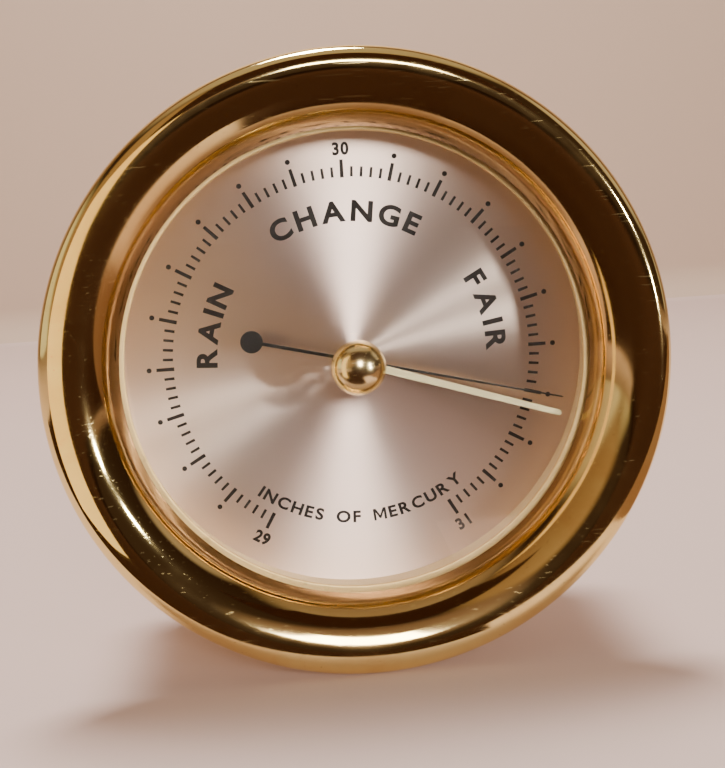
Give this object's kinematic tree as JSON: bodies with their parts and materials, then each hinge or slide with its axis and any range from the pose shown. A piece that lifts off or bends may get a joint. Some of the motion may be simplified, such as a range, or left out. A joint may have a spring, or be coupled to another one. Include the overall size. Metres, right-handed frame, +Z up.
{
  "type": "marine barometer",
  "caption": "Round aneroid barometer in a flared brass case, with a recessed silver dial, black hand and brass set hand.",
  "frame": {"origin": "centre of the back cover's outer face, on the wall plane", "axes": "+Z up, the dial faces -Y, +Y points into the wall, +X to the right as the dial is read"},
  "size_m": [0.165, 0.0668, 0.165],
  "materials": {
    "bezel_brass": "polished",
    "case_brass": "satin, lightly aged",
    "back_brass": "satin",
    "turned_brass": "turned",
    "knob_brass": "polished",
    "set_hand_brass": "pale, lacquered",
    "clear_glass": "clear",
    "tan_rubber": "matte",
    "cream_ring": "satin cream",
    "silver_dial": "circular brushed, silvered",
    "black_hand": "satin black",
    "plain_steel": "brushed",
    "spring_steel": "blued",
    "capsule_metal": "pressed, satin",
    "cast_block": "machined"
  },
  "bodies": {
    "case": {"flared_bezel": "bezel_brass", "case_drum": "case_brass", "case_lugs": "turned_brass", "back_cover": "back_brass", "back_cover_screws": "turned_brass", "glass": "clear_glass", "glass_gasket": "tan_rubber", "glass_ring": "bezel_brass", "spacer_ring": "cream_ring", "dial": "silver_dial", "dial_feet": "turned_brass", "dial_foot_screws": "turned_brass", "movement_plate": "plain_steel", "plate_screws": "turned_brass", "glass_bush": "turned_brass", "bush_nut": "turned_brass", "hairspring": "spring_steel", "hairspring_stud": "turned_brass", "arbor_bridge": "turned_brass", "bridge_pillars": "turned_brass", "bridge_screws": "turned_brass", "aneroid_capsule": "capsule_metal", "spring_block": "cast_block", "spring_block_screws": "turned_brass", "shaft_bracket": "turned_brass", "bracket_screws": "turned_brass"},
    "set_hand": {"set_knob": "knob_brass", "set_shaft": "turned_brass", "set_hand": "set_hand_brass", "friction_washer": "spring_steel"},
    "pressure_hand": {"pressure_hand": "black_hand", "centre_arbor": "plain_steel", "hairspring_collet": "turned_brass"},
    "capsule_post": {"capsule_post": "turned_brass"},
    "adjusting_screw": {"adjusting_screw": "turned_brass"},
    "lever": {"mainspring": "spring_steel", "main_lever": "plain_steel", "lever_rivets": "turned_brass", "link": "plain_steel"},
    "rocker": {"rocking_shaft": "plain_steel", "crank_arm": "turned_brass", "chain_arm": "turned_brass"},
    "chain": {"chain": "plain_steel"}
  },
  "joints": [
    {"name": "pressure_hand_turn", "type": "hinge", "parent": "case", "child": "pressure_hand", "pos_m": [0, -0.0448, 0], "axis": [0, 1, 0], "range_deg": [-254, 46], "stiffness_Nm_per_rad": 0.00002},
    {"name": "set_hand_turn", "type": "hinge", "parent": "case", "child": "set_hand", "pos_m": [0, -0.0485, 0], "axis": [0, 1, 0], "continuous": true},
    {"name": "rocker_swing", "type": "hinge", "parent": "case", "child": "rocker", "pos_m": [0.016, -0.016, 0], "axis": [0, 0, 1], "range_deg": [-4.65, 25.45]},
    {"name": "lever_swing", "type": "hinge", "parent": "case", "child": "lever", "pos_m": [-0.0526, -0.0244, -0.014], "axis": [0, 0, 1], "range_deg": [-1.04, 0.19]},
    {"name": "capsule_post_slide", "type": "slide", "parent": "case", "child": "capsule_post", "axis": [0, -1, 0], "range_m": [-0.000095, 0.000516]},
    {"name": "chain_slide", "type": "slide", "parent": "case", "child": "chain", "axis": [1, 0, 0], "range_m": [-0.00122, 0.00668]},
    {"name": "adjuster_turn", "type": "hinge", "parent": "case", "child": "adjusting_screw", "pos_m": [-0.024, -0.007, -0.014], "axis": [0, 1, 0], "range_deg": [-180, 180]}
  ],
  "couplings": [
    {"joint": "rocker_swing", "follows": "pressure_hand_turn", "ratio": -0.1},
    {"joint": "lever_swing", "follows": "pressure_hand_turn", "ratio": 0.004048},
    {"joint": "capsule_post_slide", "follows": "pressure_hand_turn", "m_per_rad": -0.0001158},
    {"joint": "chain_slide", "follows": "pressure_hand_turn", "m_per_rad": -0.0015}
  ]
}
